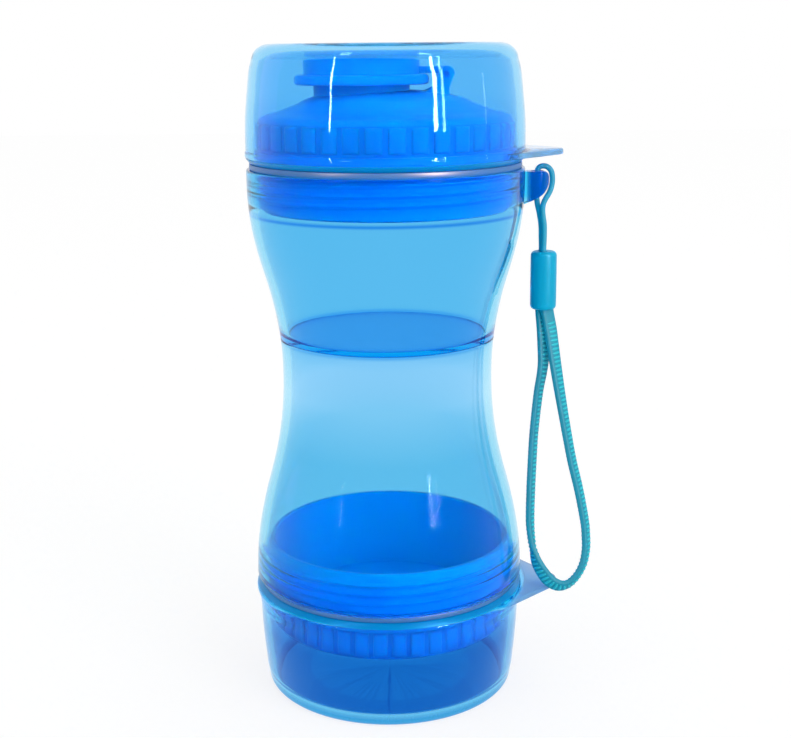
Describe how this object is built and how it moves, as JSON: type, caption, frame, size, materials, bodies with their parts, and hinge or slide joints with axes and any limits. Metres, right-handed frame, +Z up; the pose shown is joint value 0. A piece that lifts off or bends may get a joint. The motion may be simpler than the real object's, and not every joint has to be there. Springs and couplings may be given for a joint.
{
  "type": "dog travel water bottle",
  "caption": "Waisted clear travel bottle for a dog: water chamber above, food chamber below, a bowl that pulls off each end, flip-lid spout and a wrist lanyard.",
  "frame": {"origin": "centre of the flat base of the lower bowl", "axes": "+Z up along the bottle's axis, +X towards the lanyard lug and the bowls' lift tabs, -Y towards the viewer of the picture"},
  "size_m": [0.113, 0.0912, 0.216],
  "materials": {
    "clear_blue": "clear tinted plastic, smooth",
    "bowl_blue": "clear tinted plastic, smooth",
    "cap_blue": "semi-gloss moulded plastic",
    "silicone": "translucent soft silicone, satin",
    "cord_teal": "woven polyester",
    "bead_teal": "satin moulded plastic"
  },
  "bodies": {
    "bottle": {"body_upper": "clear_blue", "body_lower": "clear_blue"},
    "water_ring": {"water_seal": "silicone"},
    "water_lid": {"water_cap": "cap_blue", "lid_pin": "cap_blue"},
    "flap": {"flip_lid": "cap_blue", "spout_seal": "silicone"},
    "upper_bowl": {"water_bowl": "bowl_blue"},
    "food_ring": {"food_seal": "silicone"},
    "food_lid": {"food_cap": "cap_blue"},
    "lower_bowl": {"food_bowl": "bowl_blue"},
    "lanyard": {"lanyard_bead": "bead_teal", "lanyard_cord": "cord_teal", "lanyard_strap": "cord_teal"}
  },
  "joints": [
    {"name": "water_cap_lift", "type": "slide", "parent": "bottle", "child": "water_ring", "axis": [0, 0, 1], "range_m": [0, 0.009]},
    {"name": "water_cap_turn", "type": "hinge", "parent": "water_ring", "child": "water_lid", "pos_m": [0, 0, 0.1765], "axis": [0, 0, 1], "range_deg": [0, 1080]},
    {"name": "upper_bowl_lift", "type": "slide", "parent": "water_lid", "child": "upper_bowl", "axis": [0, 0, 1], "range_m": [0, 0.115]},
    {"name": "flap_hinge", "type": "hinge", "parent": "water_lid", "child": "flap", "pos_m": [0.0194, 0, 0.2061], "axis": [0, 1, 0], "range_deg": [0, 110]},
    {"name": "food_cap_drop", "type": "slide", "parent": "bottle", "child": "food_ring", "axis": [0, 0, -1], "range_m": [0, 0.009]},
    {"name": "food_cap_turn", "type": "hinge", "parent": "food_ring", "child": "food_lid", "pos_m": [0, 0, 0.039], "axis": [0, 0, -1], "range_deg": [0, 1080]},
    {"name": "lower_bowl_pull", "type": "slide", "parent": "food_lid", "child": "lower_bowl", "axis": [0, 0, -1], "range_m": [0, 0.05]},
    {"name": "lanyard_swing", "type": "hinge", "parent": "bottle", "child": "lanyard", "pos_m": [0.0525, 0, 0.17], "axis": [0, -1, 0], "range_deg": [0, 70], "deforming": ["lanyard_cord", "lanyard_strap"]}
  ],
  "couplings": [
    {"joint": "water_cap_lift", "follows": "water_cap_turn", "m_per_rad": 0.00047746},
    {"joint": "food_cap_drop", "follows": "food_cap_turn", "m_per_rad": 0.00047746},
    {"joint": "flap_hinge", "follows": "upper_bowl_lift", "rad_per_m": 16.667}
  ]
}
